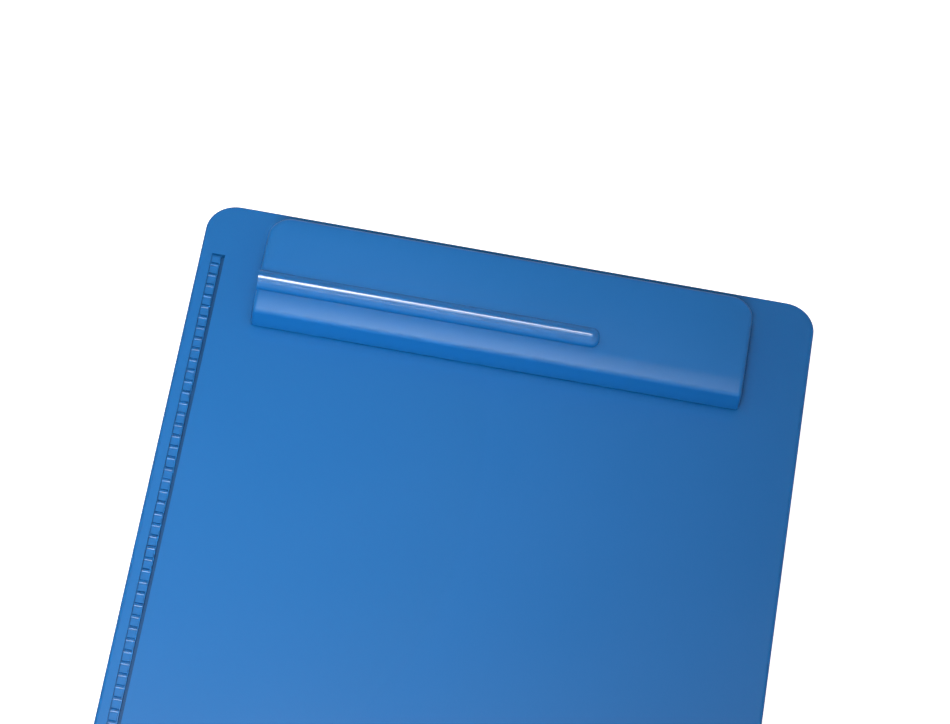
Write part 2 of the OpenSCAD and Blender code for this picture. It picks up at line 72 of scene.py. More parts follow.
STEEL_NODES = {
    "zinc sheet": ["clip_bracket_left", "clip_bracket_right"],
    "drawn pin": ["hinge_pin_front", "hinge_pin_rear", "clip_pin_left", "clip_pin_right",
                  "pin_retainers", "bracket_rivets", "latch_pin"],
}


# sizes and colours


def length(name, description, value):
    """A length in metres that the panel shows."""
    return FloatProperty(name=name, description=description, default=value, min=0.0,
                         unit="LENGTH", subtype="DISTANCE", precision=5)


def colour(name, description, value):
    """A linear colour that the panel shows."""
    return FloatVectorProperty(name=name, description=description, default=value,
                               min=0.0, max=1.0, size=3, subtype="COLOR")


class BoxColours(bpy.types.PropertyGroup):
    """Colours of the box's finishes."""
    plastic: colour("Plastic", "Blue of the moulded plate and tray", (0.007, 0.158, 0.47))
    plastic_worn: colour("Worn plastic", "Paler blue where edges have rubbed", (0.02, 0.2, 0.52))
    zinc: colour("Zinc", "Colour of the plated sheet", (0.56, 0.57, 0.58))
    pin: colour("Pin", "Colour of the drawn steel pins", (0.60, 0.60, 0.61))
    wire: colour("Spring wire", "Colour of the spring wire", (0.48, 0.48, 0.50))
    rubber: colour("Rubber", "Colour of the jaw's strip", (0.018, 0.018, 0.020))


class ClipSizes(bpy.types.PropertyGroup):
    """Sizes of the clip, from its rear edge and from the face of the plate."""
    width: length("Width", "Width of the clip", CLIP_HIGH.x - CLIP_LOW.x)
    height: length("Height", "Height of the flat face", 10 * MM)
    wall: length("Wall", "Thickness of the clip's wall", 2.2 * MM)
    corner: length("Rear corner", "Radius of the rear corners in plan", 9 * MM)
    edge: length("Edge", "Rounding of the outer edge", 1.6 * MM)
    ridge: length("Ridge", "Outer radius of the pen channel", 4.2 * MM)
    bore: length("Bore", "Radius of the pen channel's bore", 3.4 * MM)
    ridge_place: length("Ridge place", "From the rear edge to the channel's middle", 31.6 * MM)
    ridge_length: length("Ridge length", "Length of the pen channel", 133 * MM)
    rim_foot: length("Rim foot", "Height of the rear wall's lower edge", 5.89 * MM)
    crest_place: length("Crest place", "From the rear edge to the lip's crest", 40.68 * MM)
    crest_round: length("Crest rounding", "Length of each side of the crest's rounding", 3.08 * MM)
    nose_place: length("Nose place", "From the rear edge to the lip's nose", 45.11 * MM)
    nose_drop: length("Nose drop", "Fall from the flat face to the nose", 0.86 * MM)
    nose_round: length("Nose rounding", "Length of each side of the nose's rounding", 1.42 * MM)
    foot_place: length("Foot place", "From the rear edge to the lip's foot", 46.1 * MM)
    land: length("Land", "Length of the jaw's land under the lip", 6 * MM)
    jaw_gap: length("Jaw gap", "Height of the jaw's land above the plate", 0.5 * MM)
    belly_gap: length("Belly gap", "Height of the clip's middle above the plate", 0.8 * MM)
    lip_start: length("Lip start", "From the rear edge to the lip's coarser grain", 37 * MM)
    pivot_y: length("Pivot place", "From the rear edge to the pivot", 19 * MM)
    pivot_z: length("Pivot height", "Height of the pivot above the plate", 4.2 * MM)
    pivot_x: length("Pivot spacing", "From the clip's middle to each bracket", 60 * MM)
    web: length("Web", "Half width of the webs that carry the pins", 3.4 * MM)
    web_thick: length("Web thickness", "Thickness of those webs", 2.5 * MM)
    web_place: length("Web place", "From a bracket's middle to each web's middle", 8.55 * MM)
    rib: length("Rib", "Thickness of the stiffening ribs", 1.6 * MM)
    rib_low: length("Rib foot", "Height of the ribs' lower edge above the plate", 3 * MM)
    pin_bore: length("Pin bore", "Radius of the bores for the pins", 1.56 * MM)


class SpringSizes(bpy.types.PropertyGroup):
    """Sizes of the wound clip springs."""
    wire: length("Wire", "Diameter of the wire", 0.9 * MM)
    coil: length("Coil", "Mean radius of the coil", 2.3 * MM)
    pitch: length("Pitch", "Distance from one turn to the next", 1.4 * MM)
    turns: IntProperty(name="Turns", description="Whole turns of the coil", default=5, min=2, max=8)
    leg: length("Leg", "Length of each leg", 8 * MM)
    leg_low: length("Lower leg", "Height of the lower leg's end above the plate", 1.55 * MM)
    leg_high: length("Upper leg", "Height of the upper leg's end above the plate", 7.1 * MM)


class ScaleSizes(bpy.types.PropertyGroup):
    """Sizes of the ladder scale in its channel."""
    step: length("Step", "Distance from one rung to the next", 5 * MM)
    rung: length("Rung", "Width of a rung", 0.8 * MM)
    slot: length("Slot", "Width of the slot behind a rung", 1.0 * MM)
    slot_depth: length("Slot depth", "Depth of that slot", 0.62 * MM)
    rail: length("Rail", "Width of the rail on the right", 0.5 * MM)
    rise: length("Rise", "Height of the rungs above the pads", 0.2 * MM)
    front_rise: length("Front rise", "Height of a rung's front edge above the pads", 0.17 * MM)
    side_gap: length("Side gap", "Space left beside the scale on the left", 0.2 * MM)
    gap: length("Gap", "Space left behind the scale in its channel", 1.2 * MM)


class StudioSizes(bpy.types.PropertyGroup):
    """Camera and lights of the studio, with the lights' powers in watts."""
    azimuth: FloatProperty(name="Azimuth", description="Turn of the camera about the vertical",
                           default=0.016723, subtype="ANGLE")
    elevation: FloatProperty(name="Elevation", description="Height of the camera as an angle",
                             default=0.98721, subtype="ANGLE")
    roll: FloatProperty(name="Roll", description="Turn of the camera about its own line of sight",
                        default=0.160083, subtype="ANGLE")
    lens: FloatProperty(name="Lens", description="Focal length on a 36 mm sensor", default=170.57)
    key_light: FloatProperty(name="Key light", description="Power of the narrow light at the front",
                             default=0.54)
    strip_light: FloatProperty(name="Strip light", description="Power of the bright strip overhead",
                               default=27.0)
    softbox: FloatProperty(name="Softbox", description="Power of the soft light before the strip",
                           default=7.0)
    front_light: FloatProperty(name="Front light", description="Power of the light at the front",
                               default=0.3)
    sky: FloatProperty(name="Sky", description="Strength of the room's even light", default=0.43)


def clip_sizes():
    """The sizes of the clip from the panel."""
    return bpy.context.scene.clipbox_clip


# node trees


SOCKETS = {"colour": "NodeSocketColor", "number": "NodeSocketFloat", "vector": "NodeSocketVector"}


def add(tree, kind, inputs=None, **settings):
    """Adds a node: a socket among its inputs is linked, and any other value is set."""
    node = tree.nodes.new(kind)
    for name, value in settings.items():
        setattr(node, name, value)
    for key, value in (inputs or {}).items():
        if isinstance(value, bpy.types.NodeSocket):
            tree.links.new(value, node.inputs[key])
        else:
            node.inputs[key].default_value = value
    return node


def sums(tree, operation, a, b=0.0, clamp=False):
    """One step of arithmetic on numbers or sockets."""
    return add(tree, "ShaderNodeMath", {0: a, 1: b}, operation=operation,
               use_clamp=clamp).outputs[0]


def between(tree, value, low, high, out_low=0.0, out_high=1.0):
    """Maps a value from one range to another and stops at the ends."""
    return add(tree, "ShaderNodeMapRange",
               {"Value": value, "From Min": low, "From Max": high, "To Min": out_low,
                "To Max": out_high}, clamp=True).outputs["Result"]


def blend_colours(tree, factor, a, b, mode="MIX"):
    """Mixes or multiplies two colours: the sockets 6, 7 and 2 are the node's colour ones."""
    return add(tree, "ShaderNodeMix", {0: factor, 6: a, 7: b}, data_type="RGBA",
               blend_type=mode).outputs[2]


def rgba(values):
    """The same colour with full opacity."""
    return (values[0], values[1], values[2], 1.0)


def effect_group(name, inputs, outputs):
    """A new shader node group, with its named inputs and outputs."""
    tree = bpy.data.node_groups.new(name, "ShaderNodeTree")
    for label, kind, value in inputs:
        socket = tree.interface.new_socket(name=label, in_out="INPUT", socket_type=SOCKETS[kind])
        if value is not None:
            socket.default_value = value
    for label, kind in outputs:
        tree.interface.new_socket(name=label, in_out="OUTPUT", socket_type=SOCKETS[kind])
    return tree, tree.nodes.new("NodeGroupInput").outputs, tree.nodes.new("NodeGroupOutput").inputs


def moulded_skin():
    """Fine grain and slow unevenness of an injection moulding, and the shade in its corners."""
    tree, given, out = effect_group(
        "moulded skin",
        [("Place", "vector", None), ("Roughness", "number", 0.3), ("Grain Scale", "number", 900.0),
         ("Grain", "number", 0.3), ("Unevenness", "number", 0.3)],
        [("Shade", "number"), ("Roughness", "number"), ("Height", "number")])
    grain = add(tree, "ShaderNodeTexNoise",
                {"Vector": given["Place"], "Scale": given["Grain Scale"], "Detail": 2.0,
                 "Roughness": 0.6}).outputs["Fac"]
    slow = add(tree, "ShaderNodeTexNoise",
               {"Vector": given["Place"], "Scale": 14.0, "Detail": 1.0}).outputs["Fac"]
    speck = add(tree, "ShaderNodeTexNoise",
                {"Vector": given["Place"], "Scale": 260.0, "Detail": 3.0}).outputs["Fac"]
    closed = add(tree, "ShaderNodeAmbientOcclusion", {"Distance": 5 * MM}, samples=4).outputs["AO"]
    closed = between(tree, closed, 0.25, 0.9, 0.68, 1.0)
    uneven = sums(tree, "MULTIPLY", sums(tree, "SUBTRACT", slow, 0.5), given["Unevenness"])
    fine = sums(tree, "MULTIPLY", sums(tree, "SUBTRACT", grain, 0.5), given["Grain"])
    rough = sums(tree, "ADD", given["Roughness"], sums(tree, "MULTIPLY", uneven, 0.3))
    speck = sums(tree, "MULTIPLY", sums(tree, "SUBTRACT", speck, 0.5), 0.02)
    rough = sums(tree, "ADD", rough, speck)
    shade = sums(tree, "ADD", sums(tree, "MULTIPLY", uneven, 0.25), 1.0)
    tree.links.new(sums(tree, "MULTIPLY", shade, closed), out["Shade"])
    tree.links.new(sums(tree, "ADD", rough, sums(tree, "MULTIPLY", fine, 0.1), clamp=True),
                   out["Roughness"])
    tree.links.new(fine, out["Height"])
    return tree


def edge_rub():
    """Mask of the edges that hands and papers rub."""
    tree, given, out = effect_group(
        "edge rub",
        [("Place", "vector", None), ("Width", "number", 0.6 * MM), ("Amount", "number", 0.5)],
        [("Mask", "number")])
    soft = add(tree, "ShaderNodeBevel", {"Radius": given["Width"]}, samples=4).outputs["Normal"]
    true = add(tree, "ShaderNodeNewGeometry").outputs["Normal"]
    turn = add(tree, "ShaderNodeVectorMath", {0: soft, 1: true},
               operation="DOT_PRODUCT").outputs["Value"]
    edge = between(tree, turn, 0.995, 0.8)
    patchy = add(tree, "ShaderNodeTexNoise",
                 {"Vector": given["Place"], "Scale": 90.0, "Detail": 4.0}).outputs["Fac"]
    patchy = between(tree, patchy, 0.35, 0.7)
    mask = sums(tree, "MULTIPLY", sums(tree, "MULTIPLY", edge, patchy), given["Amount"], clamp=True)
    tree.links.new(mask, out["Mask"])
    return tree


def light_scratches():
    """Sparse hairline scratches, as papers and sleeves leave on a plate."""
    tree, given, out = effect_group(
        "light scratches",
        [("Place", "vector", None), ("Amount", "number", 0.5)], [("Mask", "number")])
    lines = None
    for turn, stretch in ((0.5, 900.0), (-0.9, 1300.0)):
        spun = add(tree, "ShaderNodeMapping", {"Vector": given["Place"], "Rotation": (0.0, 0.0, turn),
                                               "Scale": (12.0, stretch, 12.0)})
        noise = add(tree, "ShaderNodeTexNoise",
                    {"Vector": spun.outputs[0], "Scale": 1.0, "Detail": 1.0}).outputs["Fac"]
        line = between(tree, noise, 0.74, 0.80)
        lines = line if lines is None else sums(tree, "MAXIMUM", lines, line)
    tree.links.new(sums(tree, "MULTIPLY", lines, given["Amount"], clamp=True), out["Mask"])
    return tree


def drawn_metal():
    """Fine lines along one direction of rolled or drawn steel."""
    tree, given, out = effect_group(
        "drawn metal",
        [("Place", "vector", None), ("Stretch", "vector", (40.0, 4000.0, 4000.0)),
         ("Roughness", "number", 0.3), ("Depth", "number", 0.3)],
        [("Shade", "number"), ("Roughness", "number"), ("Height", "number")])
    spun = add(tree, "ShaderNodeVectorMath", {0: given["Place"], 1: given["Stretch"]},
               operation="MULTIPLY").outputs["Vector"]
    lines = add(tree, "ShaderNodeTexNoise",
                {"Vector": spun, "Scale": 1.0, "Detail": 3.0}).outputs["Fac"]
    blotch = add(tree, "ShaderNodeTexNoise",
                 {"Vector": given["Place"], "Scale": 350.0, "Detail": 3.0}).outputs["Fac"]
    tree.links.new(between(tree, sums(tree, "ADD", lines, blotch), 0.6, 1.4, 0.82, 1.06),
                   out["Shade"])
    tree.links.new(sums(tree, "ADD", given["Roughness"], sums(tree, "MULTIPLY", blotch, 0.16)),
                   out["Roughness"])
    tree.links.new(sums(tree, "MULTIPLY", lines, given["Depth"]), out["Height"])
    return tree


EFFECTS = {"moulded skin": moulded_skin, "edge rub": edge_rub, "light scratches": light_scratches,
           "drawn metal": drawn_metal}


def effect(tree, name, inputs):
    """Places a shared effect in a material and returns its outputs."""
    shared = bpy.data.node_groups.get(name) or EFFECTS[name]()
    node = tree.nodes.new("ShaderNodeGroup")
    node.node_tree = shared
    for key, value in inputs.items():
        if isinstance(value, bpy.types.NodeSocket):
            tree.links.new(value, node.inputs[key])
        else:
            node.inputs[key].default_value = value
    return node.outputs


def new_finish(name):
    """An empty material with its shader and its Object coordinates."""
    finish = bpy.data.materials.new(name)
    finish.use_nodes = True
    tree = finish.node_tree
    tree.nodes.clear()
    shader = add(tree, "ShaderNodeBsdfPrincipled")
    surface = add(tree, "ShaderNodeOutputMaterial")
    tree.links.new(shader.outputs["BSDF"], surface.inputs["Surface"])
    place = add(tree, "ShaderNodeTexCoord").outputs["Object"]
    return finish, tree, shader, place


def raise_surface(tree, shader, height, distance, strength=1.0):
    """Fine relief on the shader's normal, from a height between 0 and 1."""
    bump = add(tree, "ShaderNodeBump", {"Height": height, "Strength": strength, "Distance": distance})
    tree.links.new(bump.outputs["Normal"], shader.inputs["Normal"])


# finishes


def close_shade(tree, place):
    """Shade in the deep groove beside the scale and behind the clip, as a factor of the colour."""
    axes = add(tree, "ShaderNodeSeparateXYZ", {0: place}).outputs
    left, right = SCALE_HIGH.x - 0.1 * MM, SCALE_HIGH.x + 1.5 * MM
    inside = sums(tree, "MULTIPLY", sums(tree, "GREATER_THAN", axes["X"], left),
                  sums(tree, "LESS_THAN", axes["X"], right))
    deep = between(tree, axes["Z"], PLATE_HIGH.z - 1.0 * MM, PLATE_HIGH.z - 1.4 * MM)
    above = sums(tree, "GREATER_THAN", axes["Z"], PLATE_HIGH.z - 2.2 * MM)
    deep = sums(tree, "MULTIPLY", sums(tree, "MULTIPLY", inside, above), deep)
    side = between(tree, sums(tree, "ABSOLUTE", axes["X"]), CLIP_HIGH.x, CLIP_HIGH.x - 9 * MM)
    rear = sums(tree, "GREATER_THAN", axes["Y"], CLIP_HIGH.y - 1 * MM)
    behind = sums(tree, "MULTIPLY", side, rear)
    shade = between(tree, deep, 0.0, 1.0, 1.0, 0.7)
    return sums(tree, "MULTIPLY", shade, between(tree, behind, 0.0, 1.0, 1.0, 0.6))


def plastic_finish(name, roughness, grain, grain_scale, rub, scratches):
    """Blue moulded plastic."""
    colours = bpy.context.scene.clipbox_colours
    finish, tree, shader, place = new_finish(name)
    skin = effect(tree, "moulded skin", {"Place": place, "Roughness": roughness, "Grain": grain,
                                         "Grain Scale": grain_scale, "Unevenness": 0.15})
    worn = effect(tree, "edge rub", {"Place": place, "Amount": rub, "Width": 0.4 * MM})
    lines = effect(tree, "light scratches", {"Place": place, "Amount": scratches})
    shade = sums(tree, "MULTIPLY", skin["Shade"], close_shade(tree, place))
    shaded = blend_colours(tree, 1.0, rgba(colours.plastic), shade, "MULTIPLY")
    shaded = blend_colours(tree, worn["Mask"], shaded, rgba(colours.plastic_worn))
    tree.links.new(shaded, shader.inputs["Base Color"])
    rough = sums(tree, "ADD", skin["Roughness"], sums(tree, "MULTIPLY", lines["Mask"], 0.12))
    rough = sums(tree, "ADD", rough, sums(tree, "MULTIPLY", worn["Mask"], 0.1), clamp=True)
    tree.links.new(rough, shader.inputs["Roughness"])
    shader.inputs["IOR"].default_value = 1.5
    raise_surface(tree, shader, skin["Height"], 0.06 * MM, 0.35)
    return finish


def clip_finish():
    """The same plastic on the clip: grained on the lip and polished on the ridge."""
    colours = bpy.context.scene.clipbox_colours
    finish, tree, shader, place = new_finish("clip blue")
    axes = add(tree, "ShaderNodeSeparateXYZ", {0: place}).outputs
    lip, face = clip_place(-clip_sizes().lip_start, clip_sizes().height)
    on_ridge = between(tree, axes["Z"], face + 0.2 * MM, face + 0.8 * MM)
    on_lip = between(tree, axes["Y"], lip, lip - 1.3 * MM)
    skin = effect(tree, "moulded skin", {"Place": place, "Roughness": 0.3, "Grain": 0.5,
                                         "Grain Scale": 1500.0, "Unevenness": 0.15})
    worn = effect(tree, "edge rub", {"Place": place, "Amount": 0.04})
    shade = sums(tree, "MULTIPLY", skin["Shade"], 1.08)
    shaded = blend_colours(tree, 1.0, rgba(colours.plastic), shade, "MULTIPLY")
    shaded = blend_colours(tree, worn["Mask"], shaded, rgba(colours.plastic_worn))
    tree.links.new(shaded, shader.inputs["Base Color"])
    rough = sums(tree, "ADD", skin["Roughness"], sums(tree, "MULTIPLY", on_lip, 0.12))
    rough = sums(tree, "SUBTRACT", rough, sums(tree, "MULTIPLY", on_ridge, 0.18), clamp=True)
    tree.links.new(rough, shader.inputs["Roughness"])
    tree.links.new(on_ridge, shader.inputs["Coat Weight"])
    shader.inputs["Coat Roughness"].default_value = 0.15
    shader.inputs["IOR"].default_value = 1.5
    raise_surface(tree, shader, skin["Height"], 0.06 * MM, 0.5)
    return finish


def steel_finish(name, tint, roughness, stretch):
    """Bright steel with fine lines along the way that it was drawn or rolled."""
    finish, tree, shader, place = new_finish(name)
    lines = effect(tree, "drawn metal", {"Place": place, "Stretch": stretch, "Roughness": roughness,
                                         "Depth": 0.5})
    worn = effect(tree, "edge rub", {"Place": place, "Width": 0.3 * MM, "Amount": 0.6})
    shaded = blend_colours(tree, 1.0, rgba(tint), lines["Shade"], "MULTIPLY")
    shaded = blend_colours(tree, worn["Mask"], shaded, (0.8, 0.8, 0.8, 1.0))
    tree.links.new(shaded, shader.inputs["Base Color"])
    tree.links.new(lines["Roughness"], shader.inputs["Roughness"])
    shader.inputs["Metallic"].default_value = 1.0
    raise_surface(tree, shader, lines["Height"], 0.02 * MM, 0.6)
    return finish


def rubber_finish():
    """Matt black rubber with talc in its pores."""
    colours = bpy.context.scene.clipbox_colours
    finish, tree, shader, place = new_finish("jaw rubber")
    skin = effect(tree, "moulded skin", {"Place": place, "Roughness": 0.72, "Grain": 0.9,
                                         "Grain Scale": 2500.0, "Unevenness": 0.8})
    talc = add(tree, "ShaderNodeTexNoise",
               {"Vector": place, "Scale": 600.0, "Detail": 5.0}).outputs["Fac"]
    talc = between(tree, talc, 0.6, 0.8, 0.0, 0.25)
    shaded = blend_colours(tree, 1.0, rgba(colours.rubber), skin["Shade"], "MULTIPLY")
    shaded = blend_colours(tree, talc, shaded, (0.10, 0.10, 0.10, 1.0))
    tree.links.new(shaded, shader.inputs["Base Color"])
    tree.links.new(skin["Roughness"], shader.inputs["Roughness"])
    raise_surface(tree, shader, skin["Height"], 0.1 * MM, 0.6)
    return finish


def finish_named(name):
    """The material of that name, made the first time that a piece asks for it."""
    colours = bpy.context.scene.clipbox_colours
    makers = {
        "plate blue": lambda: plastic_finish("plate blue", 0.24, 0.3, 1200.0, 0.02, 0.0),
        "tray blue": lambda: plastic_finish("tray blue", 0.34, 0.5, 1000.0, 0.3, 0.2),
        "clip blue": clip_finish,
        "zinc sheet": lambda: steel_finish("zinc sheet", colours.zinc, 0.28, (4000.0, 60.0, 4000.0)),
        "drawn pin": lambda: steel_finish("drawn pin", colours.pin, 0.2, (2500.0, 60.0, 2500.0)),
        "spring wire": lambda: steel_finish("spring wire", colours.wire, 0.22, (900.0, 900.0, 900.0)),
        "jaw rubber": rubber_finish,
    }
    return bpy.data.materials.get(name) or makers[name]()


def wear_finish(piece, name):
    """Gives a piece or a CAD node one material."""
    piece.data.materials.clear()
    piece.data.materials.append(finish_named(name))


# mesh tools


def new_piece(name, bm, finish, body, replaced=()):
    """Turns a bmesh into an object at the origin that rides on a body, or on none before a blend."""
    bmesh.ops.remove_doubles(bm, verts=bm.verts, dist=1e-6)
    bmesh.ops.recalc_face_normals(bm, faces=bm.faces)
    mesh = bpy.data.meshes.new(name)
    bm.to_mesh(mesh)
    bm.free()
    piece = bpy.data.objects.new(name, mesh)
    bpy.context.scene.collection.objects.link(piece)
    mesh.shade_smooth()
    mesh.set_sharp_from_angle(angle=math.radians(35))
    wear_finish(piece, finish)
    if body:
        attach(piece, body)
    if replaced:
        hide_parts(*replaced)
    return piece


def bar_of(outline, left, right):
    """A bar along X from left to right whose section is the outline, given in (y, z)."""
    bm = bmesh.new()
    section = bm.faces.new([bm.verts.new((left, y, z)) for y, z in outline])
    grown = bmesh.ops.extrude_face_region(bm, geom=[section])["geom"]
    ends = [g for g in grown if isinstance(g, bmesh.types.BMVert)]
    bmesh.ops.translate(bm, verts=ends, vec=(right - left, 0, 0))
    bmesh.ops.recalc_face_normals(bm, faces=bm.faces)
    return bm


def round_edges(bm, edges, offset, segments):
    """Rounds edges with an arc that takes up offset on both of its faces."""
    return bmesh.ops.bevel(bm, geom=edges, offset=offset, offset_type="OFFSET", segments=segments,
                           profile=0.5, affect="EDGES", clamp_overlap=False, material=-1)


def near(a, b, reach=1e-5):
    """Whether two lengths agree within a hundredth of a millimetre or so."""
    return abs(a - b) < reach


def edges_where(bm, test):
    """Edges whose two ends both pass the test."""
    return [e for e in bm.edges if all(test(v.co) for v in e.verts)]


def cut_or_join(base, tools):
    """Applies exact booleans to a bmesh, in order, and returns the new bmesh."""
    scratch = []

    def temporary(bm):
        bmesh.ops.recalc_face_normals(bm, faces=bm.faces)
        mesh = bpy.data.meshes.new("scratch")
        bm.to_mesh(mesh)
        bm.free()
        thing = bpy.data.objects.new("scratch", mesh)
        bpy.context.scene.collection.objects.link(thing)
        scratch.append(thing)
        return thing

    body = temporary(base)
    for operation, bm in tools:
        change = body.modifiers.new("change", "BOOLEAN")
        change.operation = operation
        change.solver = "EXACT"
        change.object = temporary(bm)
    shaped = body.evaluated_get(bpy.context.evaluated_depsgraph_get())
    mesh = bpy.data.meshes.new_from_object(shaped)
    result = bmesh.new()
    result.from_mesh(mesh)
    bpy.data.meshes.remove(mesh)
    for thing in scratch:
        old = thing.data
        bpy.data.objects.remove(thing)
        bpy.data.meshes.remove(old)
    bmesh.ops.remove_doubles(result, verts=result.verts, dist=1e-6)
    return result


# the clip


def clip_place(y, z):
    """A point of the clip's section: y from its rear edge and z from the plate's face."""
    return CLIP_HIGH.y + y, PLATE_HIGH.z + z


def clip_body():
    """Outer form of the clip, with its rounded corners, rim, crest and nose."""
    s = clip_sizes()
    half = s.width / 2
    top = s.height
    crest, nose = (-s.crest_place, top), (-s.nose_place, top - s.nose_drop)
    land_end = s.land - s.foot_place
    outline = [(0, s.rim_foot), (0, top), crest, nose, (-s.foot_place, s.jaw_gap),
               (land_end, s.jaw_gap), (land_end, s.belly_gap), (-s.pivot_y, s.belly_gap)]
    bm = bar_of([clip_place(y, z) for y, z in outline], -half, half)
    for corner, offset, steps in ((crest, s.crest_round, 12), (nose, s.nose_round, 8)):
        y, z = clip_place(*corner)
        round_edges(bm, edges_where(bm, lambda c: near(c.y, y) and near(c.z, z)), offset, steps)
    rear = clip_place(0, 0)[0]
    round_edges(bm, [e for e in edges_where(bm, lambda c: near(c.y, rear))
                     if near(e.verts[0].co.x, e.verts[1].co.x)], s.corner, 14)
    bm.normal_update()

    def is_skin(face):
        return abs(face.normal.x) < 0.01 and face.normal.z > 0.05

    def is_side(face):
        return abs(face.normal.z) < 0.02 and (abs(face.normal.x) > 0.02 or face.normal.y > 0.9)

    def on_rim(edge):
        kinds = sorted((is_skin(face), is_side(face)) for face in edge.link_faces)
        return kinds == [(False, True), (True, False)]

    round_edges(bm, [edge for edge in bm.edges if on_rim(edge)], s.edge, 5)
    return bm


def ridge_bar(radius, left, right, steps=96):
    """A round bar along X whose right end is rounded."""
    s = clip_sizes()
    y, z = clip_place(-s.ridge_place, s.height)
    bm = bmesh.new()
    bmesh.ops.create_cone(bm, cap_ends=True, segments=steps, radius1=radius, radius2=radius,
                          depth=right - left)
    bmesh.ops.rotate(bm, verts=bm.verts, cent=(0, 0, 0),
                     matrix=Matrix.Rotation(math.pi / 2, 3, "Y"))
    bmesh.ops.translate(bm, verts=bm.verts, vec=((left + right) / 2, y, z))
    round_edges(bm, edges_where(bm, lambda c: near(c.x, right)), radius - 1 * MM, 10)
    return bm


def clip_hollow():
    """The space under the clip."""
    s = clip_sizes()
    half = s.width / 2 - s.wall
    roof = s.height - s.wall
    slope, front, below = -37.6 * MM, -40.1 * MM, -1 * MM
    outline = [(-s.wall, below), (-s.wall, roof), (slope, roof), (front, roof - 2.2 * MM),
               (front, below)]
    bm = bar_of([clip_place(y, z) for y, z in outline], -half, half)
    rear = clip_place(-s.wall, 0)[0]
    round_edges(bm, [e for e in edges_where(bm, lambda c: near(c.y, rear))
                     if near(e.verts[0].co.x, e.verts[1].co.x)], s.corner - s.wall, 8)
    return bm


def clip_webs():
    """Webs that the pins pass through, and the stiffening ribs."""
    s = clip_sizes()
    y, z = clip_place(-s.pivot_y, s.pivot_z)
    roof = clip_place(0, s.height - s.wall / 2)[1]
    bars = []
    for bracket in (-s.pivot_x, s.pivot_x):
        for side in (-1, 1):
            middle = bracket + side * s.web_place
            web = bar_of([(y + s.web, z), (y + s.web, roof), (y - s.web, roof), (y - s.web, z)],
                         middle - s.web_thick / 2, middle + s.web_thick / 2)
            rounding = s.web * 0.98
            round_edges(web, edges_where(web, lambda c: near(c.z, z)), rounding, 10)
            bmesh.ops.translate(web, verts=[v for v in web.verts if v.co.z < roof - 1 * MM],
                                vec=(0, 0, -rounding))
            bars.append(("UNION", web))
    for middle in (-s.width / 6, 0.0, s.width / 6):
        rib_rear, rib_front, rib_top = -1.1 * MM, -40.6 * MM, s.height - s.wall / 2
        outline = [(rib_rear, rib_top), (rib_front, rib_top), (rib_front, s.rib_low),
                   (-s.pivot_y, s.rib_low), (rib_rear, 6.2 * MM)]
        rib = bar_of([clip_place(*point) for point in outline], middle - s.rib / 2, middle + s.rib / 2)
        bars.append(("UNION", rib))
    return bars


def pin_bore():
    """Bore through the webs for both pins."""
    s = clip_sizes()
    y, z = clip_place(-s.pivot_y, s.pivot_z)
    bm = bmesh.new()
    reach = s.pivot_x + 12 * MM
    bmesh.ops.create_cone(bm, cap_ends=True, segments=32, radius1=s.pin_bore, radius2=s.pin_bore,
                          depth=2 * reach)
    bmesh.ops.rotate(bm, verts=bm.verts, cent=(0, 0, 0),
                     matrix=Matrix.Rotation(math.pi / 2, 3, "Y"))
    bmesh.ops.translate(bm, verts=bm.verts, vec=(0, y, z))
    return bm


def pad_slot():
    """Slot in the jaw's land for the rubber strip."""
    side = 0.1 * MM
    rear, front = PAD_HIGH.y + side, PAD_LOW.y - side
    top, below = PAD_HIGH.z + 0.05 * MM, PAD_LOW.z - 1 * MM
    return bar_of([(rear, below), (rear, top), (front, top), (front, below)],
                  PAD_LOW.x - side, PAD_HIGH.x + side)


class CLIPBOX_OT_clip(bpy.types.Operator):
    """Model the clip with its lip, pen channel and rounded rim"""
    bl_idname = "clipbox.clip"
    bl_label = "Clip"

    def execute(self, context):
        s = clip_sizes()
        left = -s.width / 2
        right = left + s.ridge_length
        tools = [("DIFFERENCE", clip_hollow()),
                 ("UNION", ridge_bar(s.ridge, left, right)), *clip_webs(),
                 ("DIFFERENCE", ridge_bar(s.bore, left - 1 * MM, right - s.ridge + s.bore)),
                 ("DIFFERENCE", pin_bore()), ("DIFFERENCE", pad_slot())]
        bm = cut_or_join(clip_body(), tools)
        new_piece("clip_shell", bm, "clip blue", "clip", ["clip_lever"])
        return {"FINISHED"}


# the clip's springs


def newest(result):
    """The moving edges and corners that an operator has just made."""
    return [g for g in result if isinstance(g, (bmesh.types.BMEdge, bmesh.types.BMVert))]


def corners(parts):
    return [g for g in parts if isinstance(g, bmesh.types.BMVert)]


def drawn_on(bm, ring, step):
    """Draws the end of a wire further along by a step."""
    grown = newest(bmesh.ops.extrude_edge_only(
        bm, edges=[g for g in ring if isinstance(g, bmesh.types.BMEdge)])["geom"])
    bmesh.ops.translate(bm, verts=corners(grown), vec=step)
    far = set(corners(grown))
    return [g for g in grown
            if g in far or (isinstance(g, bmesh.types.BMEdge) and set(g.verts) <= far)]


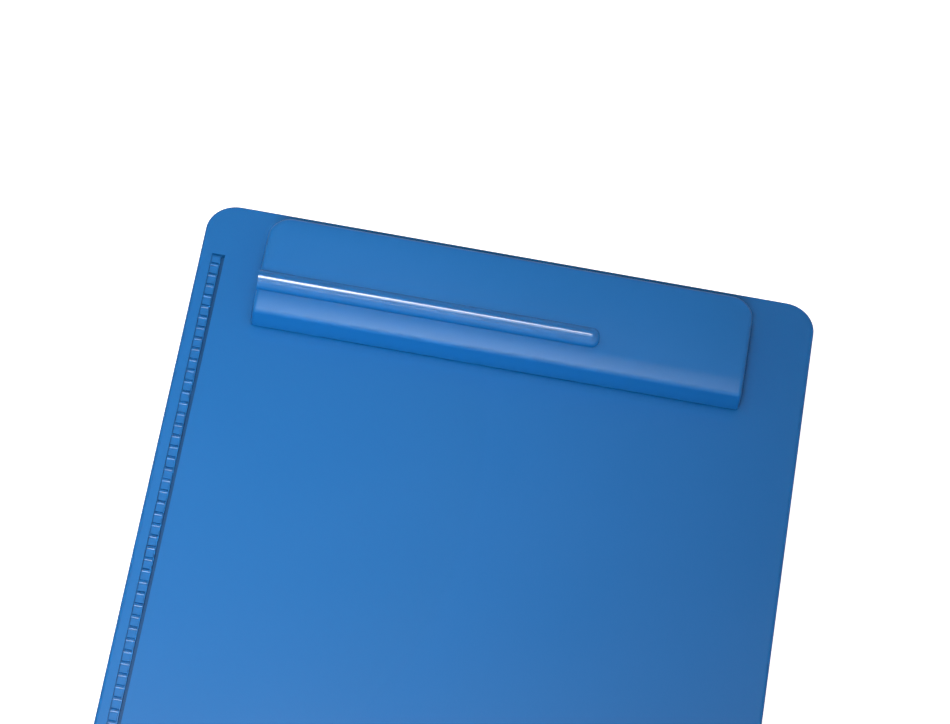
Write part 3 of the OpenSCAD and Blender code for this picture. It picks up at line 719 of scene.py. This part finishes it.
def spring_wire(middle):
    """A torsion spring round the pin: one leg on the bracket and the other under the clip."""
    s = bpy.context.scene.clipbox_spring
    clip = clip_sizes()
    y, z = clip_place(-clip.pivot_y, clip.pivot_z)
    half = (s.turns + 0.5) * s.pitch / 2
    low, high = s.leg_low - clip.pivot_z, s.leg_high - clip.pivot_z
    bm = bmesh.new()
    bmesh.ops.create_circle(bm, cap_ends=False, radius=s.wire / 2, segments=12)
    bmesh.ops.rotate(bm, verts=bm.verts, cent=(0, 0, 0),
                     matrix=Matrix.Rotation(math.pi / 2, 3, "X"))
    bmesh.ops.translate(bm, verts=bm.verts, vec=(middle - half, y + s.leg, z + low))
    ring = list(bm.edges) + list(bm.verts)
    ring = drawn_on(bm, ring, (0, -s.leg, -s.coil - low))
    steps = 18 * s.turns + 9
    ring = newest(bmesh.ops.spin(
        bm, geom=ring, cent=(middle, y, z), axis=(1, 0, 0), dvec=(2 * half / steps, 0, 0),
        angle=-math.tau * (s.turns + 0.5), steps=steps, use_merge=False)["geom_last"])
    drawn_on(bm, ring, (0, s.leg, high - s.coil))
    bmesh.ops.recalc_face_normals(bm, faces=bm.faces)
    caps = bmesh.ops.holes_fill(bm, edges=bm.edges, sides=0)["faces"]
    round_edges(bm, [e for face in caps for e in face.edges], s.wire * 0.18, 2)
    return bm, Vector((middle - half, y, z)), Vector((middle + half, y, z))


class CLIPBOX_OT_springs(bpy.types.Operator):
    """Wind the two torsion springs that close the clip"""
    bl_idname = "clipbox.springs"
    bl_label = "Springs"

    def execute(self, context):
        reach = clip_sizes().pivot_x
        for side, middle in (("left", -reach), ("right", reach)):
            bm, start, end = spring_wire(middle)
            piece = new_piece("spring_" + side, bm, "spring wire", None,
                              ["clip_spring_" + side])
            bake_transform(piece)
        return {"FINISHED"}


# the scale


def ladder_section(rear, front, low, s):
    """Section along the scale: pads, slightly sloping rungs, and the slots behind the rungs."""
    pad = low + SCALE_HIGH.z - SCALE_LOW.z - s.rise
    outline = [(front, low), (front, pad)]
    count = int((rear - front) / s.step) - 1
    chamfer, floor = 0.1 * MM, pad - s.slot_depth
    for i in range(count, 0, -1):
        y = rear - 0.2 * MM - i * s.step
        near_edge, far_edge = y - s.rung / 2, y + s.rung / 2
        outline += [(near_edge, pad), (near_edge + 0.08 * MM, pad + s.front_rise),
                    (far_edge - chamfer, pad + s.rise), (far_edge, pad + s.rise - chamfer),
                    (far_edge, floor), (far_edge + s.slot, floor), (far_edge + s.slot, pad)]
    end = rear - s.gap
    return outline + [(end, pad), (end, low)]


class CLIPBOX_OT_scale(bpy.types.Operator):
    """Mould the ladder scale with its rungs, slots and rail"""
    bl_idname = "clipbox.scale"
    bl_label = "Scale"

    def execute(self, context):
        s = context.scene.clipbox_scale
        low, high = SCALE_LOW, SCALE_HIGH
        left = low.x + s.side_gap
        edge = high.x - s.rail
        bm = bar_of(ladder_section(high.y, low.y, low.z, s), left, edge)
        tops = edges_where(bm, lambda c: c.z > high.z - s.rise + 0.05 * MM)
        round_edges(bm, [e for e in tops if near(e.verts[0].co.y, e.verts[1].co.y)], 0.05 * MM, 2)
        end = high.y - s.gap
        rail = bar_of([(low.y, low.z), (low.y, high.z), (end, high.z), (end, low.z)], edge, high.x)
        round_edges(rail, edges_where(rail, lambda c: near(c.z, high.z)), 0.15 * MM, 3)
        mesh = bpy.data.meshes.new("rail")
        rail.to_mesh(mesh)
        rail.free()
        bm.from_mesh(mesh)
        bpy.data.meshes.remove(mesh)
        new_piece("scale_ladder", bm, "plate blue", "lid", ["scale_strip"])
        return {"FINISHED"}


# finishes of the CAD nodes


class CLIPBOX_OT_finishes(bpy.types.Operator):
    """Give every carried-over node its finish"""
    bl_idname = "clipbox.finishes"
    bl_label = "Finishes"

    def execute(self, context):
        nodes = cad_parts
        wear_finish(nodes["lid_plate"], "plate blue")
        wear_finish(nodes["scale_strip"], "plate blue")
        for name in ("base_tray", "latch"):
            wear_finish(nodes[name], "tray blue")
        wear_finish(nodes["clip_lever"], "clip blue")
        wear_finish(nodes["jaw_pad"], "jaw rubber")
        for finish, names in STEEL_NODES.items():
            for name in names:
                wear_finish(nodes[name], finish)
        for name in ("clip_spring_left", "clip_spring_right"):
            wear_finish(nodes[name], "spring wire")
        return {"FINISHED"}


# the studio


# each light: name, place, aim, size, power's name, share of it, spread in degrees, diffuse, glossy
LIGHTS = [
    ("strip light", (-0.365, 0.565, 3.0), (-0.365, 0.565, 0.0), (0.57, 0.93),
     "strip_light", 1.0, 180.0, False, True),
    ("strip's end", (0.135, 0.77, 3.0), (0.135, 0.77, 0.0), (0.43, 0.52),
     "strip_light", 0.3, 180.0, False, True),
    ("strip's edge", (-0.15, -0.2, 3.0), (-0.15, -0.2, 0.0), (1.0, 0.6),
     "strip_light", 0.2, 180.0, False, True),
    ("softbox", (-0.25, 0.0, 3.0), (-0.25, 0.0, 0.0), (1.2, 0.9),
     "softbox", 1.0, 180.0, True, True),
    ("key light", (-0.12, -0.58, 1.0), (-0.15, 0.03, 0.03), (0.3, 0.3),
     "key_light", 1.0, 36.0, True, False),
    ("front light", (-0.5, -0.95, 0.75), (0.0, 0.1, 0.03), (0.5, 0.5),
     "front_light", 1.0, 180.0, True, True),
]
CAMERA_PLACE = (0.00835, -0.8327, 1.4725)


def area_light(name, place, aim, size, power, spread, diffuse, glossy):
    """A rectangular light that faces its aim."""
    lamp = bpy.data.lights.new(name, "AREA")
    lamp.shape = "RECTANGLE"
    lamp.size, lamp.size_y = size
    lamp.energy = power
    lamp.spread = math.radians(spread)
    holder = bpy.data.objects.new(name, lamp)
    holder.visible_diffuse = diffuse
    holder.visible_glossy = glossy
    bpy.context.scene.collection.objects.link(holder)
    holder.location = place
    holder.rotation_euler = (Vector(aim) - Vector(place)).to_track_quat("-Z", "Y").to_euler()


def set_camera(scene, s):
    """The camera at the photograph's place, with its lens."""
    lens = bpy.data.cameras.new("camera")
    lens.sensor_fit = "HORIZONTAL"
    lens.sensor_width = 36.0
    lens.lens = s.lens
    lens.clip_end = 50.0
    camera = bpy.data.objects.new("camera", lens)
    scene.collection.objects.link(camera)
    camera.matrix_world = (Matrix.Translation(CAMERA_PLACE)
                           @ Matrix.Rotation(s.azimuth, 4, "Z")
                           @ Matrix.Rotation(math.pi / 2 - s.elevation, 4, "X")
                           @ Matrix.Rotation(s.roll, 4, "Z"))
    scene.camera = camera


def floor_finish():
    """White to the camera, pale to the light, and open from beneath."""
    finish, tree, shader, _ = new_finish("floor white")
    shader.inputs["Base Color"].default_value = (0.55, 0.55, 0.55, 1.0)
    shader.inputs["Roughness"].default_value = 0.9
    shader.inputs["Specular IOR Level"].default_value = 0.0
    shader.inputs["Emission Color"].default_value = (1.0, 1.0, 1.0, 1.0)
    seen = add(tree, "ShaderNodeLightPath").outputs["Is Camera Ray"]
    tree.links.new(between(tree, seen, 0.0, 1.0, 0.08, 1.0), shader.inputs["Emission Strength"])
    unseen = add(tree, "ShaderNodeBsdfTransparent").outputs["BSDF"]
    beneath = add(tree, "ShaderNodeNewGeometry").outputs["Backfacing"]
    one_sided = add(tree, "ShaderNodeMixShader", {0: beneath, 1: shader.outputs["BSDF"], 2: unseen})
    surface = next(node for node in tree.nodes if node.type == "OUTPUT_MATERIAL")
    tree.links.new(one_sided.outputs["Shader"], surface.inputs["Surface"])
    return finish


def lay_floor(scene):
    """The floor, a little below the feet."""
    bm = bmesh.new()
    bmesh.ops.create_grid(bm, x_segments=1, y_segments=1, size=6.0)
    mesh = bpy.data.meshes.new("floor")
    bm.to_mesh(mesh)
    bm.free()
    mesh.materials.append(floor_finish())
    floor = bpy.data.objects.new("floor", mesh)
    scene.collection.objects.link(floor)
    floor.location.z = -0.2 * MM
    floor.visible_shadow = False


def light_room(scene, s):
    """Even light that is stronger from the front than from behind the clip."""
    world = bpy.data.worlds.new("room")
    world.use_nodes = True
    tree = world.node_tree
    background = tree.nodes["Background"]
    background.inputs["Color"].default_value = (0.92, 0.95, 1.0, 1.0)
    way = add(tree, "ShaderNodeTexCoord").outputs["Generated"]
    way = add(tree, "ShaderNodeSeparateXYZ", {0: way}).outputs["Y"]
    bright = between(tree, way, -0.8, 1.0, 1.25 * s.sky, 0.5 * s.sky)
    tree.links.new(bright, background.inputs["Strength"])
    scene.world = world


class CLIPBOX_OT_studio(bpy.types.Operator):
    """Set up the floor, the lights and the camera"""
    bl_idname = "clipbox.studio"
    bl_label = "Studio"

    def execute(self, context):
        scene = context.scene
        s = scene.clipbox_studio
        set_camera(scene, s)
        lay_floor(scene)
        light_room(scene, s)
        for name, place, aim, size, power, share, spread, diffuse, glossy in LIGHTS:
            area_light(name, place, aim, size, getattr(s, power) * share, spread, diffuse, glossy)
        scene.view_settings.view_transform = "Standard"
        return {"FINISHED"}


# panel and start


STEPS = ["clipbox.studio", "clipbox.finishes", "clipbox.clip", "clipbox.springs", "clipbox.scale"]


class CLIPBOX_PT_panel(bpy.types.Panel):
    """Lists the steps that build the box's looks"""
    bl_idname = "CLIPBOX_PT_panel"
    bl_label = "Clipboard box"
    bl_space_type = "VIEW_3D"
    bl_region_type = "UI"
    bl_category = "Clipboard box"

    def draw(self, context):
        for group in GROUPS:
            settings = getattr(context.scene, group)
            box = self.layout.box()
            for name in settings.__annotations__:
                box.prop(settings, name)
        for step in STEPS:
            self.layout.operator(step)


GROUPS = {"clipbox_colours": BoxColours, "clipbox_clip": ClipSizes, "clipbox_spring": SpringSizes,
          "clipbox_scale": ScaleSizes, "clipbox_studio": StudioSizes}
CLASSES = [BoxColours, ClipSizes, SpringSizes, ScaleSizes, StudioSizes, CLIPBOX_OT_studio,
           CLIPBOX_OT_finishes, CLIPBOX_OT_clip, CLIPBOX_OT_springs, CLIPBOX_OT_scale, CLIPBOX_PT_panel]


def register():
    for kind in CLASSES:
        bpy.utils.register_class(kind)
    for name, kind in GROUPS.items():
        setattr(bpy.types.Scene, name, PointerProperty(type=kind))


def unregister():
    for name in GROUPS:
        delattr(bpy.types.Scene, name)
    for kind in reversed(CLASSES):
        bpy.utils.unregister_class(kind)


def main():
    register()
    for step in STEPS:
        family, name = step.split(".")
        getattr(getattr(bpy.ops, family), name)()
    bpy.context.view_layer.update()


if __name__ == "__main__":
    main()
